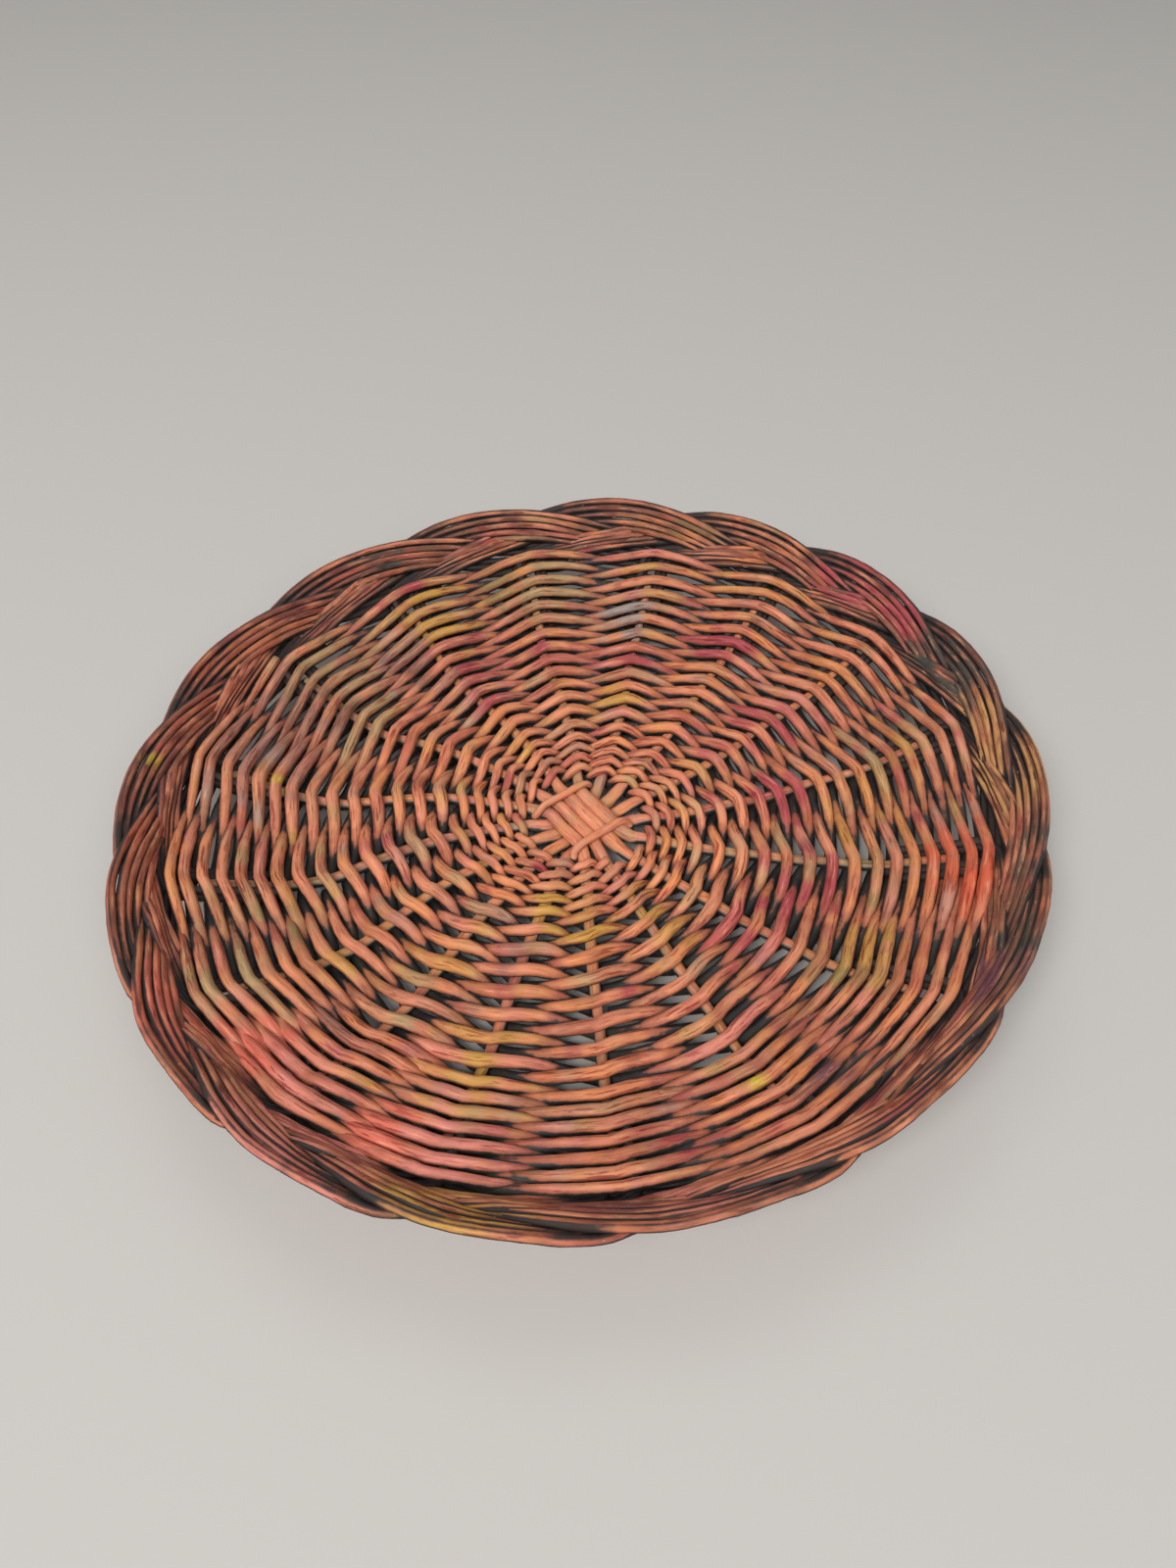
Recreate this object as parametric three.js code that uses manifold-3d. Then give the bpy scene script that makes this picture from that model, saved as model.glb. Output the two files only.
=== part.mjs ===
// Round shallow tray of woven willow.
// Eight base sticks cross in the middle and fan out into sixteen spokes. Two strands of weavers
// twist round each other between the spokes, in a spiral. Bundles of thin border stakes sit beside
// the ends of the spokes and are plaited into the rim. Millimetres, +Z up, resting on z = 0.

import * as THREE from 'three';
import { mergeVertices } from 'three/addons/utils/BufferGeometryUtils.js';
import Module from 'manifold-3d';

const wasm = await Module();
wasm.setup();

// Air left between pieces that touch, and where a weaver bends over or under a stake
const clearance = 0.3;
const crossingGap = 0.6;

// Base sticks, side by side in the crossing and then fanned out
const sticksPerLayer = 4;
const stickDiameter = 4.2;
const stickGap = 0.9;
const upperLayerAzimuth = -53.5;

// Binding round the crossed sticks
const bindingDiameter = 2;
const bindingBulge = 1.5;

// Weavers
const innerTurns = 4;
const innerPitch = 5.6;
const middleTurns = 7;
const middlePitch = 8.4;
const outerTurns = 7.5;
const outerPitch = 5.4;
const tipThickness = 2.2;
const weaverThickness = 3;
const weaverLength = 1150;
const shortestFlat = 3;
const steepestMitre = 0.7;

// Rise and fall of the woven floor: a crown, a level foot ring and the slope up to the border
const crownHeight = 2.5;
const crownRadius = 55;
const footWidth = 15;
const flareLift = 8;
const flareWidth = 19;
const edgeLift = 16.6;
const edgeMargin = 3;

// Border stakes. Their roots reach in from the floor's edge, on both sides of a stick's end.
const stickInset = 13;
const rootInset = 37;
const footInset = 42;
const prongWidth = 4.1;
const neckLength = 2;
const bundleWidth = 5.1;
const bundleThickness = 3.8;
const borderAngle = 48;
const laneOffset = 3.3;
const scallopDepth = 1;

// The plait's rhythm in spoke steps: where a bundle first changes sides, over what length it does
// so, and how far short of its neighbour's rise its tail ends
const plaitStart = 0.32;
const levelChange = 0.16;
const tailGap = 0.02;

// What the maker's hands did: the spokes drift round, more on one side than on the other and closer
// together at two places than between them, and the outline is a little oval, with its middle to the
// right of the crossing
const swirlAngle = 7.5;
const swirlStart = 15;
const swirlEnd = 90;
const swirlSegments = 6;
const leanAngle = 3.4;
const leanAzimuth = 110;
const bunchAngle = 3.8;
const bunchAzimuth = -3;
const ovalDepth = 4;
const ovalAzimuth = 55;
const outlineShift = 2.8;

// Paint over the willow
const stickColor = 0xd9775a;
const bindingColor = 0xe08a63;
const weaverColors = [0xe07b5a, 0xb9683f];
const bundleColors = [0x9a4a44, 0xc07a4a];

// Lengths that follow from the sizes above
const spokes = 4 * sticksPerLayer;
const spokeStep = 2 * Math.PI / spokes;
const stickSpacing = stickDiameter + stickGap;
const layerLift = (stickDiameter + clearance) / 2;
const slathHalf = (sticksPerLayer - 1) / 2 * stickSpacing + stickDiameter / 2;
const bindingReach = slathHalf + clearance + bindingDiameter / 2;
const bindingCorner = bindingReach + bindingBulge;
const fanRadius = bindingCorner * Math.SQRT2 + bindingDiameter / 2 + clearance;
const firstTurnRadius = fanRadius + (innerPitch - clearance) / 2;
const totalTurns = innerTurns + middleTurns + outerTurns;
const edgeRadius = turnRadius(totalTurns) + edgeMargin;
const stickEndRadius = edgeRadius - stickInset;
const rootRadius = edgeRadius - rootInset;
const flareRadius = edgeRadius - flareWidth;
const footOuterRadius = edgeRadius - footInset;
const footInnerRadius = footOuterRadius - footWidth;
const stakeHalf = Math.max(stickDiameter, bundleThickness) / 2;
const footHeight = stakeHalf + crossingGap + weaverThickness;
const rootWidth = stickDiameter + 2 * (clearance + prongWidth);
const laneSpacing = bundleWidth + 2 * clearance;
const innerLane = bundleWidth / 2 + laneOffset;
const outerLane = innerLane + 2 * laneSpacing + scallopDepth;
const plaitLift = (bundleThickness + clearance) / 2;
const borderSlope = THREE.MathUtils.degToRad(borderAngle);
const rimRadius = edgeRadius + (outerLane + bundleWidth / 2) * Math.cos(borderSlope);
const plaitSpan = 2 * plaitStart + levelChange + 2.5;
const upperAzimuth = THREE.MathUtils.degToRad(upperLayerAzimuth);
const firstSpoke = upperAzimuth - (sticksPerLayer - 1) / 2 % 1 * spokeStep;

const profileStations = [
  [0, footHeight + crownHeight],
  [crownRadius, footHeight + crownHeight],
  [footInnerRadius, footHeight],
  [footOuterRadius, footHeight],
  [flareRadius, footHeight + flareLift],
  [edgeRadius, footHeight + edgeLift],
];

const vertical = new THREE.Vector3(0, 0, 1);

// Radii between two others where the floor bends
function bendsBetween(inner, outer) {
  return profileStations.map(([radius]) => radius).filter((radius) => radius > inner && radius < outer);
}

// Height of the middle of the stakes at a distance from the centre
function floorHeight(radius) {
  const last = profileStations.length - 1;
  let i = 1;
  while (i < last && radius > profileStations[i][0]) i += 1;
  const [r0, z0] = profileStations[i - 1];
  const [r1, z1] = profileStations[i];
  return z0 + (z1 - z0) * (radius - r0) / (r1 - r0);
}

function onFloor(radius, angle, height) {
  return new THREE.Vector3(
    radius * Math.cos(angle),
    radius * Math.sin(angle),
    floorHeight(radius) + height,
  );
}

// Joins a row of closed rings into one solid with flat ends
function loft(rings) {
  const sides = rings[0].length;
  const positions = rings.flat().flatMap((p) => [p.x, p.y, p.z]);
  const index = [];
  for (let i = 0; i < rings.length - 1; i += 1) {
    for (let j = 0; j < sides; j += 1) {
      const a = i * sides + j;
      const b = i * sides + (j + 1) % sides;
      index.push(a, b, b + sides, a, b + sides, a + sides);
    }
  }
  const end = (rings.length - 1) * sides;
  for (let j = 1; j < sides - 1; j += 1) {
    index.push(0, j + 1, j);
    index.push(end, end + j, end + j + 1);
  }
  const geometry = new THREE.BufferGeometry();
  geometry.setAttribute('position', new THREE.Float32BufferAttribute(positions, 3));
  geometry.setIndex(index);
  geometry.computeVertexNormals();
  return geometry;
}

// Flattened six-sided section of a rod at one point of its path. It leans with the path, unless
// the point says which way is up.
function roundedRing(path, i, width, thickness) {
  const before = path[Math.max(i - 1, 0)].point;
  const after = path[Math.min(i + 1, path.length - 1)].point;
  const tangent = after.clone().sub(before).normalize();
  const side = new THREE.Vector3().crossVectors(path[i].up ?? vertical, tangent).normalize();
  const up = path[i].up ?? new THREE.Vector3().crossVectors(tangent, side);
  const shoulder = width / 2 - thickness / 4;
  const outline = [
    [width / 2, 0],
    [shoulder, thickness / 2],
    [-shoulder, thickness / 2],
    [-width / 2, 0],
    [-shoulder, -thickness / 2],
    [shoulder, -thickness / 2],
  ];
  return outline.map(([s, u]) => path[i].point.clone().addScaledVector(side, s).addScaledVector(up, u));
}

function toSolid(geometry) {
  const bare = geometry.clone();
  bare.deleteAttribute('normal');
  const merged = mergeVertices(bare, 1e-4);
  return new wasm.Manifold(new wasm.Mesh({
    numProp: 3,
    vertProperties: new Float32Array(merged.attributes.position.array),
    triVerts: new Uint32Array(merged.index.array),
  }));
}

function toGeometry(solid) {
  const mesh = solid.getMesh();
  const geometry = new THREE.BufferGeometry();
  geometry.setAttribute('position', new THREE.BufferAttribute(mesh.vertProperties, 3));
  geometry.setIndex(new THREE.BufferAttribute(mesh.triVerts, 1));
  geometry.computeVertexNormals();
  return geometry;
}

const willow = (color) => new THREE.MeshStandardMaterial({ color, roughness: 0.7, metalness: 0 });
const tray = new THREE.Group();

// Wave round the tray, one or two to the turn, with its top at an azimuth given in degrees
function waveRound(azimuth, order, top) {
  return Math.cos(order * (azimuth - THREE.MathUtils.degToRad(top)));
}

// Moves one point of the regular tray to where the handmade one has it
function handmade(point) {
  const radius = Math.hypot(point.x, point.y);
  const regular = Math.atan2(point.y, point.x);
  const uneven = leanAngle * waveRound(regular, 1, leanAzimuth)
    + bunchAngle * waveRound(regular, 2, bunchAzimuth);
  const drift = THREE.MathUtils.clamp((radius - swirlStart) / (swirlEnd - swirlStart), 0, 1);
  const azimuth = regular + THREE.MathUtils.degToRad(swirlAngle + uneven) * drift;
  const oval = ovalDepth * (radius / rimRadius) ** 3 * waveRound(azimuth, 2, ovalAzimuth);
  const shift = outlineShift * (radius / rimRadius) ** 2;
  return point.set(
    (radius + oval) * Math.cos(azimuth) + shift,
    (radius + oval) * Math.sin(azimuth),
    point.z,
  );
}

function addPiece(name, geometry, color, turn = 0) {
  const shape = geometry.clone().rotateZ(turn);
  const place = shape.attributes.position;
  for (let i = 0; i < place.count; i += 1) {
    place.setXYZ(i, ...handmade(new THREE.Vector3().fromBufferAttribute(place, i)));
  }
  shape.computeVertexNormals();
  const mesh = new THREE.Mesh(shape, willow(color));
  mesh.name = name;
  tray.add(mesh);
}

// Base sticks

// Places where a spoke bends: where the floor does, and along the stretch where it drifts round
const driftStations = Array.from({ length: swirlSegments }, (_, i) => (
  fanRadius + (swirlEnd - fanRadius) * i / swirlSegments
));
const spokeStations = [
  ...driftStations,
  ...bendsBetween(fanRadius, stickEndRadius),
  stickEndRadius,
].sort((a, b) => a - b);

// Half of a stick that lies along +X, from the edge of the crossing to its end
function stickHalf(place, lift) {
  const azimuth = place * spokeStep;
  const edge = new THREE.Vector3(slathHalf, place * stickSpacing, floorHeight(0) + lift);
  const spoke = spokeStations.map((radius) => onFloor(radius, azimuth, 0));
  return [edge, ...spoke];
}

function baseStick(place, lift) {
  const half = stickHalf(place, lift);
  const mirrored = half.map((p) => new THREE.Vector3(-p.x, p.y, p.z)).reverse();
  const path = [...mirrored, ...half].map((point) => ({ point, up: vertical }));
  return loft(path.map((_, i) => roundedRing(path, i, stickDiameter, stickDiameter)));
}

const layers = [
  { name: 'upper', azimuth: upperAzimuth, lift: layerLift },
  { name: 'lower', azimuth: upperAzimuth + Math.PI / 2, lift: -layerLift },
];

for (const layer of layers) {
  for (let n = 0; n < sticksPerLayer; n += 1) {
    const place = n - (sticksPerLayer - 1) / 2;
    const stick = baseStick(place, layer.lift);
    addPiece(`base_stick_${layer.name}_${n + 1}`, stick, stickColor, layer.azimuth);
  }
}

// Slath binding, one loop that starts and ends under the lower sticks
function slathBinding() {
  const shoulder = (bindingReach + bindingCorner) / 2;
  const lift = layerLift + stickDiameter / 2 + clearance + bindingDiameter / 2;
  const sag = bindingDiameter / 4;
  const run = slathHalf - stickDiameter / 4;
  const level = floorHeight(0);
  const points = [new THREE.Vector3(-clearance, bindingReach, level - lift)];
  for (let quarter = 0; quarter < 4; quarter += 1) {
    const turn = -quarter * Math.PI / 2;
    const way = quarter % 2 === 0 ? -1 : 1;
    const side = [
      [run, bindingReach, way * lift],
      [bindingCorner, shoulder, way * (lift - sag)],
      [bindingCorner, bindingCorner, 0],
      [shoulder, bindingCorner, -way * (lift - sag)],
      [bindingReach, run, -way * lift],
    ];
    const kept = quarter === 0 ? side : side.slice(1);
    for (const [x, y, z] of kept) {
      points.push(new THREE.Vector3(x, y, level + z).applyAxisAngle(vertical, turn));
    }
    if (quarter < 3) {
      const next = new THREE.Vector3(bindingReach, -run, level - way * lift);
      points.push(next.applyAxisAngle(vertical, turn));
    }
  }
  points.push(new THREE.Vector3(-run, bindingReach, level - lift));
  points.push(new THREE.Vector3(-4 * clearance, bindingReach, level - lift));
  const path = points.map((point) => ({ point }));
  return loft(path.map((_, i) => roundedRing(path, i, bindingDiameter, bindingDiameter)));
}

// Weavers

// Radius of the spiral after a number of turns
function turnRadius(turn) {
  const inner = Math.min(turn, innerTurns);
  const middle = Math.min(Math.max(turn - innerTurns, 0), middleTurns);
  const outer = Math.max(turn - innerTurns - middleTurns, 0);
  return firstTurnRadius + inner * innerPitch + middle * middlePitch + outer * outerPitch;
}

// Two strands lie side by side between the spokes and fill the space to the next turn
function strandWidth(turn) {
  const radius = turnRadius(turn);
  const room = Math.min(turnRadius(turn + 1) - radius, radius - turnRadius(turn - 1));
  return room / 2 - clearance;
}

// Half of the level stretch over or under a stake, long enough for the slope beside it to clear it
function flatHalf(radius, lift, halfWidth) {
  if (radius + halfWidth > rootRadius - clearance) {
    return rootWidth / 2 + 2 * clearance;
  }
  const halfStep = radius * spokeStep / 2;
  const slope = Math.asin(Math.min(lift / halfStep, 1));
  return Math.max(shortestFlat / 2, halfStep - lift / Math.tan(slope));
}

// One square section of a strand, mitred to the slopes before and after it
function strandRing(path, i) {
  const here = path[i];
  const direction = (from, to) => new THREE.Vector2(
    (from.angle - to.angle) * here.radius,
    to.height - from.height,
  ).normalize();
  const incoming = i > 0 ? direction(path[i - 1], here) : direction(here, path[i + 1]);
  const outgoing = i < path.length - 1 ? direction(here, path[i + 1]) : incoming;
  const along = incoming.clone().add(outgoing).normalize();
  const half = here.thickness / 2 / Math.max(along.dot(incoming), steepestMitre);
  const corners = [[-1, -1], [1, -1], [1, 1], [-1, 1]];
  return corners.map(([across, above]) => {
    const radius = here.radius + across * here.width / 2;
    const slide = -above * half * along.y;
    return onFloor(radius, here.angle - slide / radius, here.height + above * half * along.x);
  });
}

// A strand is cut into rods under a stake, each time that a rod's length is used up
function strandRods(first) {
  const rods = [];
  let path = [];
  let length = 0;
  const passes = totalTurns * spokes;
  for (let pass = 0; pass < passes; pass += 1) {
    const turn = pass / spokes;
    const over = (pass + first) % 2 === 0;
    const radius = turnRadius(turn);
    const width = strandWidth(turn);
    const thickness = turn < innerTurns ? tipThickness : weaverThickness;
    const lift = stakeHalf + crossingGap + thickness / 2;
    const half = flatHalf(radius, lift, width + clearance);
    const centre = firstSpoke - pass * spokeStep;
    const sideways = (over ? 1 : -1) * (width + clearance) / 2;
    const station = (shift, offset) => ({
      angle: centre - shift / radius,
      radius: radius + offset,
      height: over ? lift : -lift,
      width,
      thickness,
    });
    length += radius * spokeStep;
    path.push(station(-half, -sideways));
    if (length > weaverLength && !over && passes - pass > spokes / 2) {
      path.push(station(-clearance, 0));
      rods.push(path);
      path = [station(clearance, 0)];
      length = 0;
    }
    path.push(station(half, sideways));
  }
  rods.push(path);
  return rods.map((rod) => loft(rod.map((_, i) => strandRing(rod, i))));
}

addPiece('slath_binding', slathBinding(), bindingColor, upperAzimuth);
for (const [first, letter] of [[0, 'a'], [1, 'b']]) {
  strandRods(first).forEach((rod, n) => {
    addPiece(`weaver_${letter}_${String(n + 1).padStart(2, '0')}`, rod, weaverColors[first]);
  });
}

// Border stakes

// Point and normal of the tray's surface: the floor up to its edge, then the sloping border
function borderFrame(step, reach, level) {
  const angle = -step * spokeStep;
  const beyond = Math.max(reach - edgeRadius, 0);
  const radius = Math.min(reach, edgeRadius) + beyond * Math.cos(borderSlope);
  const height = floorHeight(Math.min(reach, edgeRadius)) + beyond * Math.sin(borderSlope);
  const tilt = borderSlope * Math.min(beyond / innerLane, 1);
  const outward = new THREE.Vector3(Math.cos(angle), Math.sin(angle), 0);
  const point = outward.clone().multiplyScalar(radius).addScaledVector(vertical, height);
  const normal = outward.multiplyScalar(-Math.sin(tilt)).addScaledVector(vertical, Math.cos(tilt));
  return { point: point.addScaledVector(normal, level), up: normal };
}

// The plait has three lanes. A bundle starts in the inner lane, crosses to the outer one and comes
// back the same way, over and under its neighbours by turns. Steps are counted clockwise from its root.
function borderBundle() {
  const lane = (n) => edgeRadius + innerLane + n * laneSpacing;
  const slot = stickEndRadius + 2 * clearance;
  const root = [
    [0, rootRadius, 0, rootWidth],
    ...bendsBetween(rootRadius, slot).map((radius) => [0, radius, 0, rootWidth]),
    [0, slot + prongWidth, 0, rootWidth],
    [0, edgeRadius - neckLength, 0, bundleWidth],
    [0.01, edgeRadius + neckLength, -plaitLift * 0.7, bundleWidth],
    [plaitStart / 6, lane(0) - neckLength, -plaitLift, bundleWidth],
    [plaitStart / 2, lane(0), -plaitLift, bundleWidth],
  ];
  const outward = [
    [plaitStart, lane(0), -plaitLift, bundleWidth],
    [plaitStart + levelChange, lane(0), plaitLift, bundleWidth],
    [plaitStart + 0.5, lane(1), plaitLift, bundleWidth],
    [plaitStart + 0.5 + levelChange, lane(1), -plaitLift, bundleWidth],
    [plaitStart + 1, lane(2), -plaitLift, bundleWidth],
  ];
  const back = outward.map(([step, reach, level, width]) => [plaitSpan - step, reach, -level, width]);
  const stops = [
    ...root,
    ...outward,
    [plaitSpan / 2, lane(2) + scallopDepth, 0, bundleWidth],
    ...back.reverse(),
    [3 + plaitStart - tailGap, lane(0), plaitLift, bundleWidth],
  ];
  const path = stops.map(([step, reach, level]) => borderFrame(step, reach, level));
  const whole = loft(path.map((_, i) => roundedRing(path, i, stops[i][3], bundleThickness)));
  return toGeometry(toSolid(whole).subtract(toSolid(stickSlot(slot))));
}

// Room for the end of a base stick in the root of a bundle
function stickSlot(end) {
  const start = rootRadius - rootWidth;
  const radii = [start, ...bendsBetween(start, end), end];
  const width = stickDiameter + 2 * clearance;
  const height = bundleThickness * 2;
  const corners = [[1, -1], [-1, -1], [-1, 1], [1, 1]];
  return loft(radii.map((radius) => corners.map(([s, u]) => (
    onFloor(radius, 0, u * height / 2).add(new THREE.Vector3(0, -s * width / 2, 0))
  ))));
}

const bundle = borderBundle();
for (let n = 0; n < spokes; n += 1) {
  const turn = firstSpoke - n * spokeStep;
  const name = `border_stakes_${String(n + 1).padStart(2, '0')}`;
  addPiece(name, bundle, bundleColors[n % 2], turn);
}

// The origin is at the middle of the outline, which the uneven drift moves a little
const middle = new THREE.Box3().setFromObject(tray).getCenter(new THREE.Vector3());
tray.position.set(-middle.x, -middle.y, 0);

export default tray;
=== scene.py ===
import math
import random

import bmesh
import bpy
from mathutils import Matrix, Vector, noise


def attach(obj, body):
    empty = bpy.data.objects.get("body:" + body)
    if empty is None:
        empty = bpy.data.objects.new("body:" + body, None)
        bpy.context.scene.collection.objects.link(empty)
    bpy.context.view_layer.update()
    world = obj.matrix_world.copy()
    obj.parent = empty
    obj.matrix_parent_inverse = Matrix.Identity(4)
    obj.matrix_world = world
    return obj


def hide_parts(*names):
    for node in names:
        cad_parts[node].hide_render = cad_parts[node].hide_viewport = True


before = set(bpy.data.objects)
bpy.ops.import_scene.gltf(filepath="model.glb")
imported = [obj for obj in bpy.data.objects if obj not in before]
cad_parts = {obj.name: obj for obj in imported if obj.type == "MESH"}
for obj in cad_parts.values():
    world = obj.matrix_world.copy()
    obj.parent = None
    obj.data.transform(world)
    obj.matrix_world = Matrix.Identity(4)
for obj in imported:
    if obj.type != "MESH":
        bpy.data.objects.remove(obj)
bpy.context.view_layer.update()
scene = bpy.context.scene
print("frame:", len(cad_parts), "nodes")

mm = 0.001   # sizes are in millimetres, apart from the studio's

# The form of the tray, which all its rods follow. Radii are taken from the crossing, azimuths in degrees.
tray = {
    "spokes": 16,
    "firstSpoke": -64.75,      # azimuth of the first spoke, the others follow clockwise
    # radius, and height of the middle of the weave there
    "floor": [(0, 8.2), (55, 8.2), (89.4, 5.7), (104.4, 5.7), (127.4, 13.7), (146.4, 22.3), (200, 46.6)],
    "rounding": 4,             # the bends of the floor are rounded over this much
    "edge": 146.4,             # radius where the woven floor ends and the border begins
    "slope": 48,               # degrees by which the border rises
    "step": 60.6,              # one spoke to the next, along the border
    "rim": 160.3,
    "outerBand": (6, 2.5),     # rods this near the rim show their outer sides too, coming in over 2.5 mm
    "swirl": (7.5, 15, 90),    # degrees that the spokes drift round, and from which radius to which
    "lean": (3.4, 110),        # degrees more at an azimuth, and less opposite it
    "bunch": (3.8, -3),        # degrees more at an azimuth and opposite it, and less between
    "oval": (4, 55),           # the rim lies out at an azimuth and opposite it, and in at right angles to it
    "middle": (3.13, -0.31),   # the frame's origin, seen from the crossing
    "shift": (1.6, 2.6),       # the outline's middle, seen from the crossing
    "loose": (2.6, 100, 55),   # rows spread by this much, beyond a radius, most towards an azimuth
}
spokeStep = 2 * math.pi / tray["spokes"]
firstSpoke = math.radians(tray["firstSpoke"])


def clamp(value):
    return min(max(value, 0), 1)


# Reads a table of pairs at x, straight from one pair to the next
def fromTable(table, x):
    for (x0, y0), (x1, y1) in zip(table, table[1:]):
        if x <= x1:
            return y0 + (y1 - y0) * max(x - x0, 0) / (x1 - x0)
    return table[-1][1]


# Height of the middle of the weave above the table, with its bends rounded
def floorHeight(radius):
    return sum(fromTable(tray["floor"], radius + tray["rounding"] * k) for k in (-1, 0, 1)) / 3


def onFloor(radius, angle, height):
    return Vector((radius * math.cos(angle), radius * math.sin(angle), floorHeight(radius) + height))


def turned(x, y, angle):
    return x * math.cos(angle) - y * math.sin(angle), x * math.sin(angle) + y * math.cos(angle)


# A place in the frame, seen from the crossing
def fromCrossing(x, y):
    return x + tray["middle"][0], y + tray["middle"][1]


# How much further out the oval has a place than a circle has it
def ovalStretch(radius, azimuth):
    depth, top = tray["oval"]
    return depth * (radius / tray["rim"]) ** 3 * math.cos(2 * (azimuth - math.radians(top)))


# The unevenness of hand work: spokes drift round, bunch on one side, and the outline is a little oval
def handmade(point):
    radius = math.hypot(point.x, point.y)
    regular = math.atan2(point.y, point.x)
    swirl, swirlStart, swirlEnd = tray["swirl"]
    uneven = sum(
        size * math.cos(order * (regular - math.radians(top)))
        for order, (size, top) in ((1, tray["lean"]), (2, tray["bunch"]))
    )
    drift = clamp((radius - swirlStart) / (swirlEnd - swirlStart))
    azimuth = regular + math.radians(swirl + uneven) * drift
    reach = radius + ovalStretch(radius, azimuth)
    share = (radius / tray["rim"]) ** 2
    x, y = (middle - shift * share for middle, shift in zip(tray["middle"], tray["shift"]))
    return Vector((reach * math.cos(azimuth) - x, reach * math.sin(azimuth) - y, point.z))


# The sides of a rod at x and y that are open to view, as two directions: away from the weave, and for
# the outermost rods of the border also up its slope
def openSides(x, y):
    x, y = (place - shift for place, shift in zip(fromCrossing(x, y), tray["shift"]))
    azimuth = math.atan2(y, x)
    reach = math.hypot(x, y)
    radius = reach - ovalStretch(reach, azimuth)
    if radius > tray["edge"] + 2:     # the plait, just past the last row
        slope = math.radians(tray["slope"])
    else:
        slope = math.atan((floorHeight(radius + 1) - floorHeight(radius - 1)) / 2)
    outX, outY = math.cos(azimuth), math.sin(azimuth)
    flat, steep = math.cos(slope), math.sin(slope)
    band, fade = tray["outerBand"]
    outermost = clamp((radius - tray["rim"] + band) / fade)
    return Vector((-outX * steep, -outY * steep, flat)), Vector((outX * flat, outY * flat, steep)) * outermost


# Even noise between -1 and 1 that runs on smoothly over size millimetres
def wander(point, size, seed):
    seedGap = 7.31      # far enough apart in the noise that no two seeds look alike
    return noise.noise(Vector((point.x / size, point.y / size, seed * seedGap)))


# Points every so many millimetres along a smooth line through the stations, with their other values
def smoothLine(stations, spacing):
    line = []
    padded = [stations[0], *stations, stations[-1]]
    for a, b, c, d in zip(padded, padded[1:], padded[2:], padded[3:]):
        length = math.dist(b[:3], c[:3])
        count = max(1, round(length / spacing))
        for i in range(count):
            t = i / count
            line.append([
                0.5 * (2 * q + (r - p) * t + (2 * p - 5 * q + 4 * r - s) * t * t
                       + (3 * q - p - 3 * r + s) * t ** 3)
                for p, q, r, s in zip(a, b, c, d)
            ])
    line.append(list(stations[-1]))
    return line


# What all willow rods of the tray share
willow = {
    "bump": (0.16, 3.4),          # how uneven the bark under the paint is, and over what size
    "ripple": (0.05, 14),         # how much a rod swells and narrows, and over what length
    "firstKnot": 10,              # knots are where leaves grew
    "knotEvery": (55, 120),
    "knotSwell": 0.12,
    "knotLength": 2.6,
    "thickPaint": 0.2,            # how much thicker paint that ran down makes a rod
    "streaksApart": (37.0, 11),   # keeps the brush streaks of two rods from looking alike
    "outside": (0.3, 0.8),        # sides on the rim that face out more than this have the paint of that depth
}


# Thickness of a rod along its length: it tapers from butt to tip, with knots where leaves grew
def rodShape(rng, length, taper):
    knots = []
    place = rng.uniform(willow["firstKnot"], willow["knotEvery"][1])
    while place < length:
        knots.append(place)
        place += rng.uniform(*willow["knotEvery"])
    seed = rng.uniform(0, 100)
    ripple, rippleLength = willow["ripple"]

    def thickness(along):
        swell = sum(math.exp(-((along - knot) / willow["knotLength"]) ** 2) for knot in knots)
        uneven = ripple * noise.noise(Vector((along / rippleLength, seed, 0)))
        return 1 + taper * (0.5 - along / length) + willow["knotSwell"] * swell + uneven
    return thickness


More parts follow.
